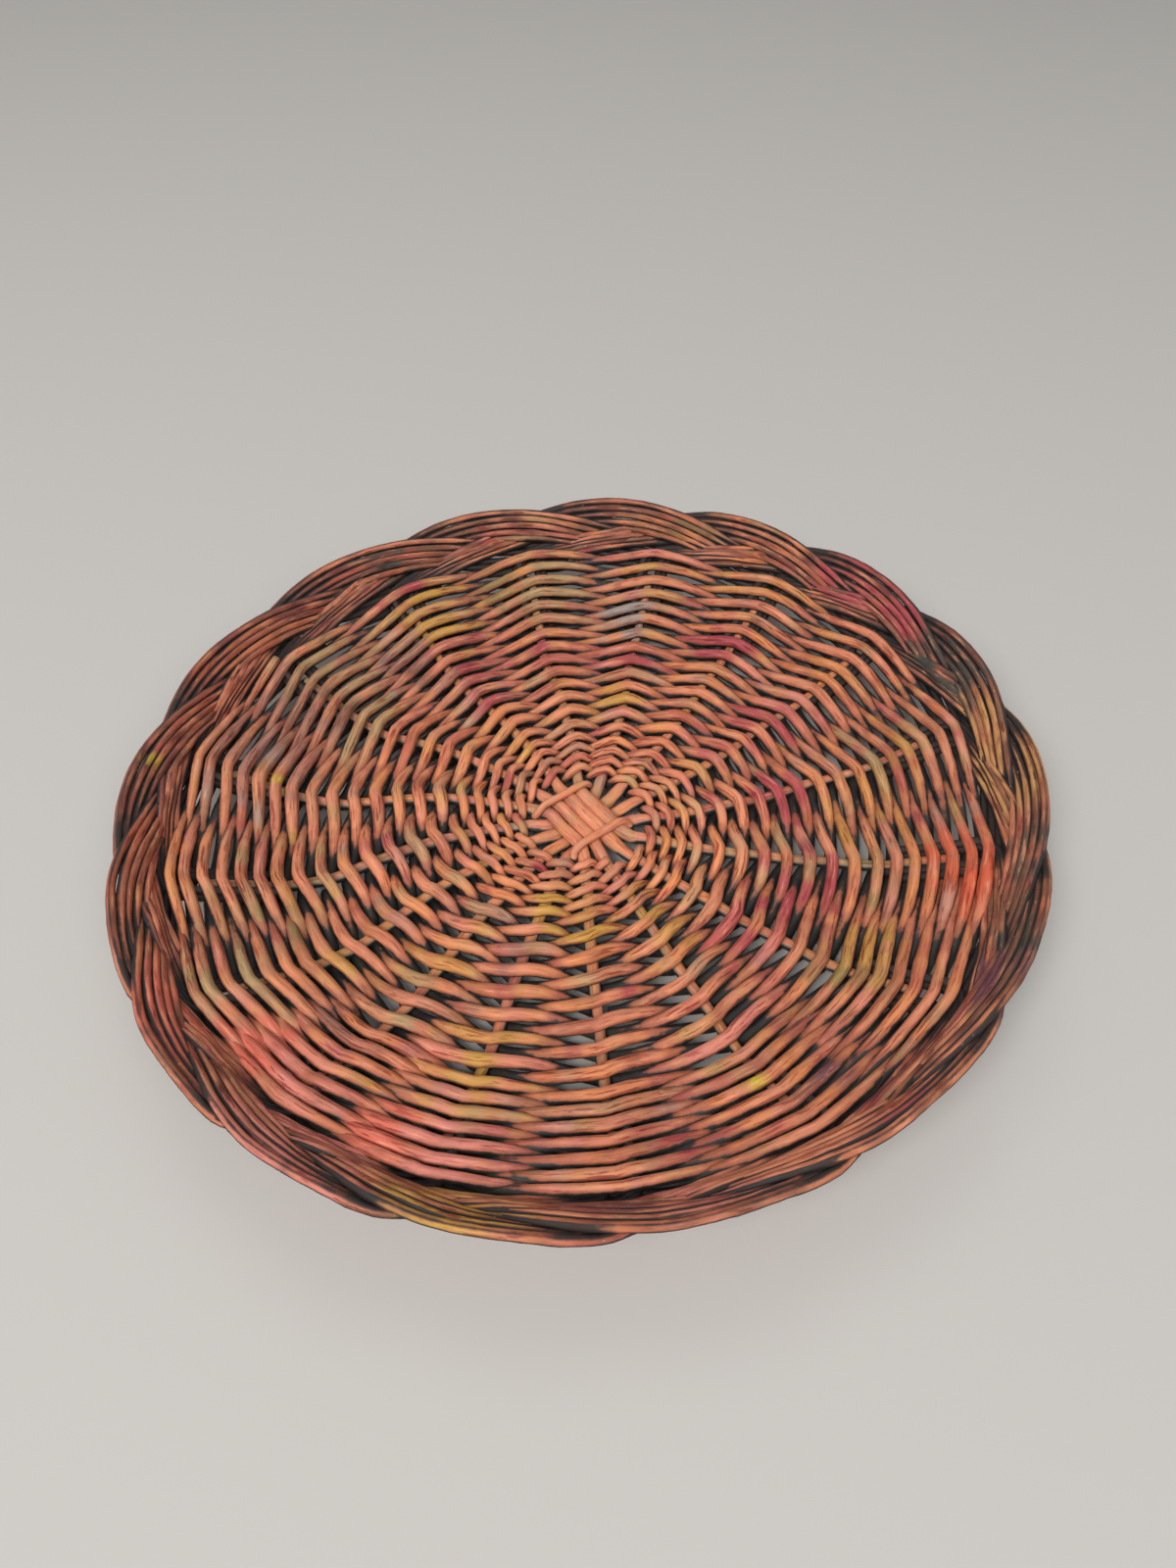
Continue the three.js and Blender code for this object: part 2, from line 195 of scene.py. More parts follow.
# Sweeps round sections along lines of stations. A station is x, y, z, radius, depth and tone:
# depth is about 1 on top of the weave and -1 under it, and the lower it is the more old dark paint and
# painted shade the rod gets; tone picks the rod's own shade.
def sweepRods(pieceName, rods, patches, sides):
    curve = bpy.data.curves.new(pieceName, "CURVE")
    curve.dimensions = "3D"
    curve.twist_mode = "Z_UP"
    curve.bevel_depth = mm
    curve.bevel_resolution = (sides - 4) // 2
    for rod in rods:
        spline = curve.splines.new("POLY")
        spline.points.add(len(rod) - 1)
        for point, (x, y, z, radius, *_) in zip(spline.points, rod):
            point.co = (x * mm, y * mm, z * mm, 1)
            point.radius = radius * (1 + willow["thickPaint"] * min(flooding(x, y), 1))
    sweep = bpy.data.objects.new(pieceName, curve)
    scene.collection.objects.link(sweep)
    depsgraph = bpy.context.evaluated_depsgraph_get()
    mesh = bpy.data.meshes.new_from_object(sweep.evaluated_get(depsgraph), depsgraph=depsgraph)
    bpy.data.objects.remove(sweep)
    bpy.data.curves.remove(curve)

    # the paint reads four things from each corner: its place along and across its rod, how deep the rod
    # lies in the weave and how far the corner faces the open side, which set the old dark paint and painted
    # shade, and the coat there
    rodSpace, rodDepth, rodTop, rodPaint = [], [], [], []
    rodsApart, tonesApart = willow["streaksApart"]
    facingOut, upThere = willow["outside"]
    corners = iter(mesh.vertices)
    for n, rod in enumerate(rods):
        along = rodsApart * n
        for i, (x, y, z, radius, depth, tone) in enumerate(rod):
            if i:
                along += math.dist(rod[i - 1][:3], rod[i][:3])
            coat = coatAt(x, y, tone, patches)
            depth += flooding(x, y)
            away, edgeways = openSides(x, y)
            for side in range(sides):
                outward = (next(corners).co / mm - Vector((x, y, z))).normalized()
                top, edge = outward.dot(away), outward.dot(edgeways)
                turn = 2 * math.pi * side / sides
                rodSpace += [along, radius * math.cos(turn), radius * math.sin(turn) + tonesApart * tone]
                rodDepth.append(max(depth, upThere) if edge > max(top, facingOut) else depth)
                rodTop.append(max(top, edge) if edge > 0 else top)
                rodPaint += [*coat, 1]
    for title, kind, key, values in (
        ("rodSpace", "FLOAT_VECTOR", "vector", rodSpace),
        ("rodDepth", "FLOAT", "value", rodDepth),
        ("rodTop", "FLOAT", "value", rodTop),
        ("rodPaint", "FLOAT_COLOR", "color", rodPaint),
    ):
        mesh.attributes.new(title, kind, "POINT").data.foreach_set(key, values)

    # cut ends are closed, and the bark under the paint is a little uneven
    bm = bmesh.new()
    bm.from_mesh(mesh)
    openEdges = [edge for edge in bm.edges if edge.is_boundary]
    for face in bmesh.ops.holes_fill(bm, edges=openEdges, sides=sides)["faces"]:
        face.smooth = False
    bm.normal_update()
    bump, bumpSize = willow["bump"]
    for vert in bm.verts:
        vert.co += vert.normal * mm * bump * noise.noise(vert.co / (mm * bumpSize))
    bm.to_mesh(mesh)
    bm.free()
    mesh.validate()
    return mesh


def addPiece(pieceName, rods, patches, sides, material, node):
    mesh = sweepRods(pieceName, rods, patches, sides)
    mesh.materials.clear()
    mesh.materials.append(material)
    piece = bpy.data.objects.new(pieceName, mesh)
    scene.collection.objects.link(piece)
    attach(piece, "root")
    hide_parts(node)


# An sRGB hex colour as the linear one that Blender's sockets take
def paintColor(code):
    channels = [int(code[i:i + 2], 16) / 255 for i in (1, 3, 5)]
    return (*(c / 12.92 if c <= 0.04045 else ((c + 0.055) / 1.055) ** 2.4 for c in channels), 1)


# Adds a node and gives the asked one of its outputs. Settings are the node's own properties, links and
# plain values go to its sockets by name or number.
def addNode(tree, kind, sockets, output=0, **settings):
    node = tree.nodes.new("ShaderNode" + kind)
    for key, value in settings.items():
        setattr(node, key, value)
    for key, value in sockets.items():
        if isinstance(value, bpy.types.NodeSocket):
            tree.links.new(value, node.inputs[key])
        else:
            node.inputs[key].default_value = value
    if node.outputs:
        return node.outputs[output]


# The coats of paint that the tray has had, as they look now
coats = {
    "coral": "#D98763", "salmon": "#D98272", "orange": "#DD8A52", "red": "#D2603F", "brick": "#DA6F59",
    "crimson": "#AA3F4A", "plum": "#6C404A", "maroon": "#69352F", "rust": "#A8563B", "brown": "#6E4A35",
    "ochre": "#C4953F", "yellow": "#D6BE3A", "olive": "#81763F", "khaki": "#A98E62", "tan": "#C49057",
    "dusty": "#A0705F", "grey": "#998F86", "green": "#363F37",
}

# Where each coat shows: place from the crossing and reach in mm, then how strongly. No place is all over.
weavePatches = [
    ("coral", None, 1.0), ("salmon", None, 0.55), ("orange", None, 0.75), ("khaki", None, 0.6),
    ("crimson", None, 0.6), ("grey", None, 0.42), ("ochre", None, 0.56), ("rust", None, 0.6),
    ("crimson", (74, 10, 16), 2.0), ("crimson", (66, 45, 18), 2.0), ("crimson", (46, 42, 12), 1.3),
    ("crimson", (74, -32, 19), 2.5), ("crimson", (61, -54, 15), 1.7), ("plum", (84, -16, 9), 1.4),
    ("olive", (95, -27, 17), 1.8), ("ochre", (103, 2, 20), 1.3), ("olive", (84, -68, 22), 1.3),
    ("ochre", (92, -58, 18), 1.4), ("red", (134, -36, 16), 2.8), ("red", (128, -18, 12), 1.8),
    ("crimson", (56, 98, 20), 1.4), ("crimson", (19, 86, 18), 1.8), ("crimson", (-17, 95, 20), 1.5),
    ("crimson", (-48, 84, 18), 1.7), ("crimson", (-78, 116, 20), 1.8), ("grey", (20, 111, 14), 1.3),
    ("khaki", (-8, 128, 24), 1.7), ("ochre", (-60, 110, 20), 2.0), ("olive", (-40, 122, 14), 1.6),
    ("grey", (-76, 86, 20), 1.2), ("khaki", (-104, 78, 24), 2.6), ("tan", (-66, 112, 20), 2.4),
    ("grey", (-122, 36, 22), 1.2), ("dusty", (-122, 40, 40), 1.9), ("brown", (-107, 36, 12), 1.4),
    ("brown", (-126, 24, 14), 1.2), ("khaki", (-88, 48, 22), 1.3), ("dusty", (-62, 82, 24), 1.7),
    ("dusty", (-78, -78, 18), 1.5), ("brown", (-105, 53, 18), 1.5), ("brown", (-68, 84, 16), 1.4),
    ("khaki", (-106, -62, 26), 1.6), ("rust", (-84, -60, 20), 1.2), ("grey", (-128, -2, 17), 1.2),
    ("ochre", (12, 62, 13), 1.7), ("ochre", (-4, -47, 16), 2.1), ("ochre", (24, -40, 13), 1.8),
    ("ochre", (-78, -60, 18), 1.3), ("olive", (-104, -44, 13), 1.6), ("brick", (-99, -95, 14), 3.1),
    ("salmon", (-92, -112, 22), 2.6), ("brick", (-58, -125, 13), 2.6), ("salmon", (-34, -138, 26), 2.2),
    ("ochre", (-31, -103, 9), 3.1), ("plum", (-24, -60, 10), 1.3), ("plum", (78, -116, 18), 1.7),
    ("crimson", (30, -124, 14), 1.3), ("coral", (0, 0, 26), 1.6), ("orange", (42, -16, 20), 1.3),
    ("yellow", (-114, 16, 2.3), 5.0), ("yellow", (74, -59, 2.3), 5.0), ("yellow", (51, -106, 2.3), 5.0),
    ("yellow", (19, 67, 2.3), 5.0), ("yellow", (-106, -6, 1.8), 4.0),
]
borderPatches = [
    ("rust", None, 0.95), ("brown", None, 0.9), ("maroon", None, 0.9), ("coral", None, 0.84),
    ("khaki", None, 0.5), ("orange", None, 0.62), ("crimson", None, 0.6), ("salmon", None, 0.6),
    ("orange", (30, 150, 50), 0.9), ("khaki", (140, 40, 60), 0.9), ("olive", (60, 150, 60), 0.8),
    ("maroon", (-150, 20, 60), 0.8), ("tan", (152, 8, 22), 3.4), ("green", (142, 57, 18), 5.0),
    ("tan", (148, 32, 14), 2.4), ("green", (149, -36, 14), 2.0), ("crimson", (138, 90, 18), 2.4),
    ("crimson", (112, 110, 18), 1.8), ("orange", (72, 132, 20), 1.2), ("brown", (30, 152, 22), 1.5),
    ("maroon", (12, 158, 14), 1.6), ("khaki", (-24, 150, 18), 1.0), ("orange", (16, 150, 10), 1.2),
    ("green", (-82, 128, 20), 1.5), ("brown", (-60, 142, 20), 1.2), ("maroon", (-118, 96, 24), 1.3),
    ("rust", (-140, 52, 22), 1.6), ("maroon", (-152, 6, 20), 1.6), ("rust", (-142, -48, 20), 1.4),
    ("rust", (-146, -30, 26), 1.9), ("brick", (-118, -86, 22), 1.7), ("salmon", (-74, -126, 26), 2.4),
    ("coral", (-20, -138, 26), 2.0), ("ochre", (-34, -150, 22), 2.0), ("maroon", (-50, -158, 16), 1.5),
    ("coral", (54, -134, 30), 2.2), ("salmon", (36, -150, 20), 2.4), ("coral", (104, -112, 18), 1.5),
    ("crimson", (88, -124, 14), 1.2), ("plum", (126, -84, 16), 2.3), ("green", (136, -70, 11), 2.2),
    ("brown", (140, -54, 16), 1.5), ("yellow", (-153, 8, 3), 4.0), ("tan", (-162, -26, 9), 3.0),
]

# How the coats were brushed on and wore away
brushing = {
    "flakes": (8, 1.0),       # size of a flake in mm, and how much flakes differ
    "rods": 1.0,              # how much one rod differs from the next
    "even": 0.75,             # share of a coat that is the same all over its patch
    "least": 0.02,
    "sharpness": 4,           # the strongest coat wins by this power
    "endsAt": 0.2,            # a patch weaker than this isn't seen
    "outerDarkening": (0.12, 55, 60),     # how much darker the outer rows are, from which radius, over how far
}
# Where paint was put on so thickly that it ran down the sides of the rods: place from the crossing, reach
flooded = [
    (-98, -92, 12), (-57, -124, 10), (-84, -110, 8), (-50, -92, 8), (4, 0, 12), (132, -38, 13),
    (-118, 22, 11),
]


def flooding(x, y):
    x, y = fromCrossing(x, y)
    return sum(
        math.exp(-((x - spotX) ** 2 + (y - spotY) ** 2) / reach ** 2) for spotX, spotY, reach in flooded
    )


# Colour of the paint at one place of one rod. Each coat thins out towards the end of its reach, in
# flakes that differ from rod to rod.
def coatAt(x, y, tone, patches):
    flakeSize, flakeShare = brushing["flakes"]
    fromX, fromY = fromCrossing(x, y)
    mixed = Vector((0, 0, 0))
    total = 0
    for n, (coat, spot, strength) in enumerate(patches):
        if spot:
            away = math.hypot(fromX - spot[0], fromY - spot[1]) / spot[2]
            strength *= math.exp(-away * away)
        if strength > brushing["endsAt"]:
            # another place in the noise for each patch and tone
            flakes = noise.noise(Vector((x / flakeSize, y / flakeSize, 5.3 * n + 9 * tone)))
            chance = noise.noise(Vector((57.3 * tone, 3.7 * n + 0.5, 0.5)))
            covering = brushing["even"] + flakeShare * flakes + brushing["rods"] * chance
            share = (strength * max(covering, brushing["least"])) ** brushing["sharpness"]
            mixed += share * Vector(paintColor(coats[coat])[:3])
            total += share
    # the outer rows are made darker, from a radius on
    outerDarkening, start, width = brushing["outerDarkening"]
    return mixed / total * (1 - outerDarkening * clamp((math.hypot(fromX, fromY) - start) / width))


# Peeled willow, painted by hand several times: matt, with brush streaks along each rod, the pale ones
# also painted highlight, older dark paint and painted shade in the dips, and a few worn spots of bare wood
def paintedWillow(title, look):
    material = bpy.data.materials.new(title)
    material.use_nodes = True
    tree = material.node_tree
    tree.nodes.clear()
    metres = addNode(tree, "TexCoord", {}, "Object")
    place = addNode(tree, "VectorMath", {0: metres, "Scale": 1 / mm}, operation="SCALE")
    rodPlace = addNode(tree, "Attribute", {}, "Vector", attribute_name="rodSpace")
    depth = addNode(tree, "Attribute", {}, "Fac", attribute_name="rodDepth")
    facing = addNode(tree, "Attribute", {}, "Fac", attribute_name="rodTop")
    paint = addNode(tree, "Attribute", {}, "Color", attribute_name="rodPaint")

    # Noise over the tray, or along and across each rod: its size in mm, detail and roughness. The hairs of
    # a brush leave finer streaks than these, which wouldn't show.
    patterns = {}
    for pattern, vector, size, detail, roughness in (
        ("broad", place, (30, 30, 30), 2, 0.5),
        ("middling", place, (8, 8, 8), 3, 0.6),
        ("streaks", rodPlace, (11, look["grain"], look["grain"]), 4, 0.65),
        ("strokes", rodPlace, (9, 3, 3), 2, 0.5),
        ("rubbing", rodPlace, (5, 1.6, 1.6), 3, 0.65),
    ):
        scaled = addNode(tree, "VectorMath", {0: vector, 1: tuple(1 / s for s in size)}, operation="MULTIPLY")
        patterns[pattern] = addNode(tree, "TexNoise", {
            "Vector": scaled, "Scale": 1.0, "Detail": detail, "Roughness": roughness,
        }, "Fac")

    # How clear a place is of the old dark paint and painted shade, which lie deep in the weave, on the flanks
    # of its rods and, seen from below, in its middle. The edge is ragged.
    flank, under = look["flank"], look["under"]
    onTop = 0.55          # how clear the top of a rod is at the middle of the weave
    depthBelow = -0.5     # seen from below, depth counts half, and the other way round
    above = addNode(tree, "Math", {0: facing, 1: flank, 2: onTop - flank}, operation="MULTIPLY_ADD")
    above = addNode(tree, "Math", {0: above, 1: depth}, operation="ADD")
    below = addNode(tree, "Math", {0: facing, 1: -flank, 2: under}, operation="MULTIPLY_ADD")
    below = addNode(tree, "Math", {0: depth, 1: depthBelow, 2: below}, operation="MULTIPLY_ADD")
    reach = addNode(tree, "Math", {0: above, 1: below}, operation="MAXIMUM")
    for pattern, strength in (("middling", look["ragged"]), ("streaks", 0.6)):
        centred = addNode(tree, "Math", {0: patterns[pattern], 1: 0.5}, operation="SUBTRACT")
        reach = addNode(tree, "Math", {0: centred, 1: strength, 2: reach}, operation="MULTIPLY_ADD")

    # Where each effect starts in its pattern and where it is full, then its values at these two
    masks = {}
    for mask, value, start, end, low, high in (
        ("redder", patterns["streaks"], 0.52, 0.62, 0, 1),
        ("redderPlaces", patterns["broad"], 0.35, 0.6, 0.35, look["streak"]),
        ("dryStreaksAndHighlight", patterns["streaks"], 0.45, 0.33, 0, 1),
        ("strokes", patterns["strokes"], 0.5, 0.7, 0, 1),
        ("fringe", reach, *look["fringe"], 0, 1),
        ("darkPaintAndShadeTone", patterns["middling"], 0.4, 0.62, 0, 1),
        ("darkPaintAndShade", reach, *look["dark"], 0, 1),
        ("rubbed", patterns["rubbing"], look["wear"], look["wear"] + 0.05, 0, 1),
        ("openTop", facing, 0.1, 0.6, 0, 1),
        ("roughness", patterns["middling"], 0.3, 0.7, 0.62, 0.84),
    ):
        masks[mask] = addNode(tree, "MapRange", {
            "Value": value, "From Min": start, "From Max": end, "To Min": low, "To Max": high,
        }, interpolation_type="SMOOTHSTEP")
    bare = addNode(tree, "Math", {0: masks["rubbed"], 1: masks["openTop"]}, operation="MULTIPLY")
    # the colour of the old dark paint and painted shade, in two tones
    darkPaintAndShade = addNode(tree, "Mix", {
        0: masks["darkPaintAndShadeTone"], 6: paintColor(look["darkPaintAndShade"][0]), 7: paintColor(look["darkPaintAndShade"][1]),
    }, 2, data_type="RGBA")

    # One over the other: mask, how strongly, colour and how it mixes
    for mask, strength, color, mixing in (
        (masks["redder"], masks["redderPlaces"], paintColor("#A8605C"), "MULTIPLY"),   # a redder coat below
        (masks["dryStreaksAndHighlight"], 0.5, paintColor(look["bright"]), "MIX"),         # paler streaks where the brush ran dry, and painted highlight
        (masks["strokes"], 0.4, paintColor(look["dull"]), "MIX"),
        (masks["fringe"], 0.75, paintColor(look["fadedAndShaded"]), "MIX"),      # a fringe round the old dark paint and painted shade
        # old dark paint and painted shade over the flanks, dips and deep places of the weave
        (masks["darkPaintAndShade"], 0.97, darkPaintAndShade, "MIX"),
        (bare, 0.8, paintColor("#C9A582"), "MIX"),                      # bare wood where the rods rub
    ):
        share = addNode(tree, "Math", {0: mask, 1: strength}, operation="MULTIPLY")
        paint = addNode(tree, "Mix", {0: share, 6: paint, 7: color}, 2, data_type="RGBA", blend_type=mixing)

    relief = addNode(tree, "Math", {0: patterns["streaks"], 1: 0.5, 2: patterns["middling"]},
                     operation="MULTIPLY_ADD")
    bump = addNode(tree, "Bump", {"Strength": 0.5, "Distance": 0.5 * mm, "Height": relief})
    shader = addNode(tree, "BsdfPrincipled", {
        "Base Color": paint, "Roughness": masks["roughness"], "IOR": 1.48, "Normal": bump,
    })
    addNode(tree, "OutputMaterial", {"Surface": shader})
    return material


# Camera at the photo's angle
photo = {
    "distance": 390,          # from the middle of the crossing, in mm
    "elevation": 50,
    "aim": (590, 832),        # where the crossing shows, in a frame of 1200 by 1600
    "focus": 1090,            # focal length in pixels of that frame
    "crossing": (-3.1, 0.3, 12.7),
}
frameWidth, frameHeight, sensor = 1200, 1600, 36      # the sensor's long side is in mm
elevation = math.radians(photo["elevation"])
camera = bpy.data.objects.new("camera", bpy.data.cameras.new("camera"))
scene.collection.objects.link(camera)
camera.data.lens = photo["focus"] * sensor / frameHeight
camera.data.clip_start = 0.01
camera.location = (Vector(photo["crossing"]) + photo["distance"] * Vector(
    (0, -math.cos(elevation), math.sin(elevation)))) * mm
camera.rotation_euler = (
    math.pi / 2 - elevation + math.atan((photo["aim"][1] - frameHeight / 2) / photo["focus"]), 0,
    -math.atan((frameWidth / 2 - photo["aim"][0]) / photo["focus"]),
)
scene.camera = camera

# Soft light from all round and three big lamps, over a plain floor, in metres
studio = {
    "floor": "#BDBAB5",
    "floorRadius": 8,
    "room": 0.46,              # light from above
    # it grows from a tenth to all of it between two heights in the sky, so that little gets under the tray
    "horizon": (0.2, 0.8, 0.1),
    "backdrop": 0.85,          # how bright the room looks to the camera
    "lamps": [                 # place, size, watts
        ((-0.95, -1.5, 2.1), 1.3, 57),
        ((0.85, -1.75, 2.05), 1.45, 24),
        ((-0.4, 1.3, 2.6), 1.45, 7),
    ],
}
world = bpy.data.worlds.new("studio")
scene.world = world
world.use_nodes = True
tree = world.node_tree
tree.nodes.clear()
direction = addNode(tree, "TexCoord", {}, "Generated")
height = addNode(tree, "SeparateXYZ", {0: direction}, "Z")
dimFrom, fullFrom, dimShare = studio["horizon"]
room = addNode(tree, "MapRange", {
    "Value": height, "From Min": dimFrom, "From Max": fullFrom,
    "To Min": studio["room"] * dimShare, "To Max": studio["room"],
})
rays = [addNode(tree, "LightPath", {}, ray) for ray in ("Is Camera Ray", "Is Glossy Ray")]
seen = addNode(tree, "Math", {0: rays[0], 1: rays[1]}, operation="MAXIMUM")
level = addNode(tree, "MapRange", {"Value": seen, "To Min": room, "To Max": studio["backdrop"]})
addNode(tree, "OutputWorld", {"Surface": addNode(tree, "Background", {"Strength": level})})
for n, (place, size, watts) in enumerate(studio["lamps"]):
    lamp = bpy.data.objects.new(f"softbox{n + 1}", bpy.data.lights.new(f"softbox{n + 1}", "AREA"))
    scene.collection.objects.link(lamp)
    lamp.data.shape = "DISK"
    lamp.data.size = size
    lamp.data.energy = watts
    lamp.location = place
    lamp.rotation_euler = (-Vector(place)).to_track_quat("-Z", "Y").to_euler()

# Board rolled with pale matt paint: an even ground that shows only the tray's shadow
bm = bmesh.new()
bmesh.ops.create_circle(bm, cap_ends=True, segments=96, radius=studio["floorRadius"])
floorMesh = bpy.data.meshes.new("studioFloor")
bm.to_mesh(floorMesh)
bm.free()
floorPaint = bpy.data.materials.new("Board, rolled with pale matt paint")
floorPaint.use_nodes = True
floorShader = floorPaint.node_tree.nodes["Principled BSDF"]
floorShader.inputs["Base Color"].default_value = paintColor(studio["floor"])
floorShader.inputs["Roughness"].default_value = 0.9
floorMesh.materials.append(floorPaint)
studioFloor = bpy.data.objects.new("studioFloor", floorMesh)
scene.collection.objects.link(studioFloor)
scene.view_settings.view_transform = "Standard"
print("camera and light")

# Thick sticks under a smooth coral: few streaks, and grey where the paint thins out and painted shade falls
# under the weave
stickPaint = paintedWillow("Thick willow stick, painted coral over salmon", {
    "streak": 0.6,                     # how strongly the coat below shows in streaks
    "bright": "#EBA888",               # paler streaks where the brush ran dry, and painted highlight
    "dull": "#A07866",                 # in broad strokes
    "grain": 1.0,                      # width of a streak in mm
    "flank": 1.0,                      # how fast the old dark paint and painted shade gain down the sides of a rod
    "under": -0.4,                     # how clear of it a rod is below, clearer the higher this is
    "ragged": 0.7,                     # how uneven its edge is
    "fringe": (0.55, 0.15),            # how clear a place is where its fringe begins, and where it is full
    "fadedAndShaded": "#8C7C6E",                # colour of the fringe
    "dark": (0.35, 0.0),               # the same for the old dark paint and painted shade themselves
    "darkPaintAndShade": ("#1A2123", "#33372E"),     # and its two colours
    "wear": 0.76,                      # fewer bare spots the higher this is
})

# Base sticks: two layers of four, crossed in the middle, fan out into the spokes
baseStick = {
    "layers": [("upper", -53.5, 1), ("lower", 36.5, -1)],     # azimuth, and up or down
    "perLayer": 4,
    "pitch": 5.1,             # the sticks of a layer lie side by side in the crossing
    "lift": 2.25,             # upper layer above the middle, lower layer below it
    "level": (1, 5, 9.75),    # places out from the middle where a stick lies level in the crossing
    "fan": 19.05,             # radius at which they have reached the level of the spokes
    "bends": [24, 32, 42, 55, 68, 82, 96, 110, 120, 133.4],
    "stray": 0.3,             # unevenness, up or down in the crossing and sideways on the floor
    "sway": 0.15,             # and sideways in the crossing and up or down on the floor
    "thickness": [(0, 5.0), (12, 4.9), (24, 4.3), (100, 4.0), (134, 3.6)],
    "girth": [0.9, 0.88, 1.06, 1.08],     # each stick of a layer against the usual one, in the crossing
    "girthEnd": 16,           # up to this radius
    "length": 300,
    "taper": 0.06,
    "depths": (0.75, -1, 0.2),     # for the old dark paint and painted shade: upper layer, middle of the lower one, and spokes
    "hidden": 9,                   # the lower layer is covered up to this radius
    "spacing": 2.2,
}
stray, sway = baseStick["stray"], baseStick["sway"]
onTop, covered, onSpokes = baseStick["depths"]
for layer, azimuth, way in baseStick["layers"]:
    for n in range(baseStick["perLayer"]):
        rng = random.Random(f"{layer}{n}")
        spot = n - (baseStick["perLayer"] - 1) / 2
        tone = rng.random()
        halves = []
        for end in (-1, 1):
            angle = spot * spokeStep if end > 0 else math.pi - spot * spokeStep
            level = floorHeight(0) + (way * baseStick["lift"] + rng.uniform(-stray, stray))
            half = [(end * out, spot * baseStick["pitch"] + rng.uniform(-sway, sway), level)
                    for out in baseStick["level"]]
            for radius in (baseStick["fan"], *baseStick["bends"]):
                side = rng.uniform(-stray, stray) / radius
                half.append(tuple(onFloor(radius, angle + side, rng.uniform(-sway, sway))))
            halves.append(half)
        stations = [(*station, 1, 0, 0) for station in halves[0][::-1] + halves[1]]
        shape = rodShape(rng, baseStick["length"], baseStick["taper"])
        rod = []
        for x, y, z, *_ in smoothLine(stations, baseStick["spacing"]):
            radius = math.hypot(x, y)
            place = handmade(Vector((*turned(x, y, math.radians(azimuth)), z)))
            thickness = fromTable(baseStick["thickness"], radius) / 2
            thickness *= shape(math.copysign(radius, x) + baseStick["length"] / 2)
            thickness *= baseStick["girth"][n] if radius < baseStick["girthEnd"] else 1
            if way > 0 and radius < baseStick["fan"]:
                depth = onTop
            else:
                depth = covered if radius < baseStick["hidden"] else onSpokes
            rod.append((*place, thickness, depth, tone))
        addPiece(f"baseStick{layer.title()}{n + 1}", [rod], weavePatches, 12, stickPaint,
                 f"base_stick_{layer}_{n + 1}")
print("base sticks")

# The cleanest paint of the tray: an even, soft coral, darker only below with old dark paint and painted shade
bindingPaint = paintedWillow("Thin willow binding rod, painted coral", {
    "streak": 0.4, "bright": "#EBA888", "dull": "#B08070", "grain": 1.0, "flank": 1.0, "under": -0.4,
    "ragged": 0.7, "fringe": (0.5, 0.1), "fadedAndShaded": "#8C7C6E", "dark": (0.3, -0.1),
    "darkPaintAndShade": ("#1A2123", "#33372E"), "wear": 0.8,
})

# Slath binding: a thin rod round the crossing, over the upper sticks and under the lower ones
binding = {
    "thickness": 2.7,
    "run": 8.4,               # half of the level stretch over or under a layer
    "reach": 11.3,            # how far out it runs
    "corner": 12.6,           # and how far at the corners
    "cornerCut": (0.8, 1.2),  # just before and after a corner it is this far inside it
    "cornerLift": 0.55,       # and has this share of the lift
    "lift": 5.6,              # above and below the middle
    "ends": (-0.5, -1.6),     # its two ends, side by side below
    "length": 100,
    "taper": 0.1,
    "depths": (0.9, -0.2),    # for the old dark paint and painted shade: on top, and elsewhere
    "tone": 0.5,
    "spacing": 1.2,
}
rng = random.Random("binding")
reach, run, corner, lift = (binding[key] for key in ("reach", "run", "corner", "lift"))
leaving, coming = binding["cornerCut"]
partLift = binding["cornerLift"]
loop = [(binding["ends"][0], reach, -lift)]
for quarter in range(4):
    way = -1 if quarter % 2 == 0 else 1
    stretch = [
        (run, reach, way * lift), (corner - leaving, corner - coming, way * lift * partLift),
        (corner, corner, 0), (corner - coming, corner - leaving, -way * lift * partLift),
        (reach, run, -way * lift), (reach, 0, -way * lift),
    ]
    if quarter == 3:
        stretch.pop()
    loop += [(*turned(x, y, -quarter * math.pi / 2), z) for x, y, z in stretch]
loop.append((binding["ends"][1], reach, -lift))
shape = rodShape(rng, binding["length"], binding["taper"])
rod = []
stations = [(*station, 1, 0, 0) for station in loop]
azimuth = math.radians(baseStick["layers"][0][1])
for i, (x, y, z, *_) in enumerate(smoothLine(stations, binding["spacing"])):
    place = handmade(Vector((*turned(x, y, azimuth), floorHeight(0) + z)))
    depth = binding["depths"][0] if z > 2 else binding["depths"][1]
    thickness = binding["thickness"] / 2 * shape(i * binding["spacing"])
    rod.append((*place, thickness, depth, binding["tone"]))
addPiece("slathBindingRod", [rod], weavePatches, 10, bindingPaint, "slath_binding")
print("slath binding")

# Coral and orange household paint, brushed on thickly and worn: matt, streaked along each rod, brown at
# the sides of the rods and near-black where they dip under a spoke, from old dark paint and painted shade
weaverPaint = paintedWillow("Willow, brushed with coral and orange matt paint", {
    "streak": 0.9, "bright": "#E9A280", "dull": "#8E5038", "grain": 0.9, "flank": 1.3, "under": -0.75,
    "ragged": 1.3, "fringe": (0.7, 0.1), "fadedAndShaded": "#8E4A34", "dark": (0.18, -0.12),
    "darkPaintAndShade": ("#161B1D", "#2E2E26"), "wear": 0.74,
})

